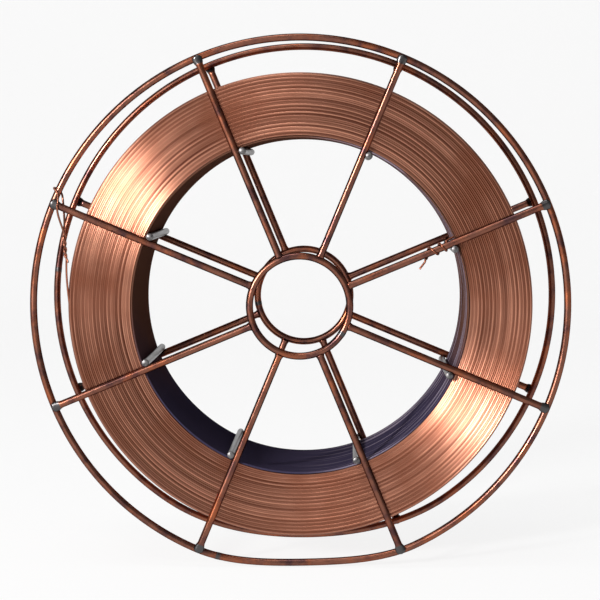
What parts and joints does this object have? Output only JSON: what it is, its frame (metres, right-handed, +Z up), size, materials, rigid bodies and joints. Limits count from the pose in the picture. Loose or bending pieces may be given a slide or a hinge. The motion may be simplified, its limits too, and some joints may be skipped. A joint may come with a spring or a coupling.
{
  "type": "spool of welding wire",
  "caption": "Wire basket spool wound with copper coated welding wire, open hub bore through the middle, standing on its rims.",
  "frame": {"origin": "centre of the spool: on the axle line, halfway between the two flanges", "axes": "+Y along the axle from the front flange to the back flange, +Z up as the spool stands on its rims, +X to the right seen from the front"},
  "size_m": [0.3, 0.1013, 0.2962],
  "materials": {
    "basket_wire": "drawn steel rod with a thin dark copper plating, heat tinted at the welds",
    "bare_steel_wire": "drawn bare steel, satin",
    "core_liner": "smooth dark strip with a soft gloss",
    "welding_wire": "bright copper coated steel welding wire"
  },
  "bodies": {
    "root": {"front_rim_ring": "basket_wire", "back_rim_ring": "basket_wire", "front_hub_ring": "basket_wire", "back_hub_ring": "basket_wire", "front_spoke_1": "basket_wire", "front_spoke_2": "basket_wire", "front_spoke_3": "basket_wire", "front_spoke_4": "basket_wire", "front_spoke_5": "basket_wire", "front_spoke_6": "basket_wire", "front_spoke_7": "basket_wire", "front_spoke_8": "basket_wire", "back_spoke_1": "basket_wire", "back_spoke_2": "basket_wire", "back_spoke_3": "basket_wire", "back_spoke_4": "basket_wire", "back_spoke_5": "basket_wire", "back_spoke_6": "basket_wire", "back_spoke_7": "basket_wire", "back_spoke_8": "basket_wire", "crossbar_1": "bare_steel_wire", "crossbar_2": "bare_steel_wire", "crossbar_3": "bare_steel_wire", "crossbar_4": "bare_steel_wire", "crossbar_5": "bare_steel_wire", "crossbar_6": "bare_steel_wire", "crossbar_7": "bare_steel_wire", "crossbar_8": "bare_steel_wire", "core_liner": "core_liner", "wire_coil": "welding_wire", "wire_inner_end": "welding_wire", "wire_outer_end": "welding_wire"}
  },
  "joints": []
}
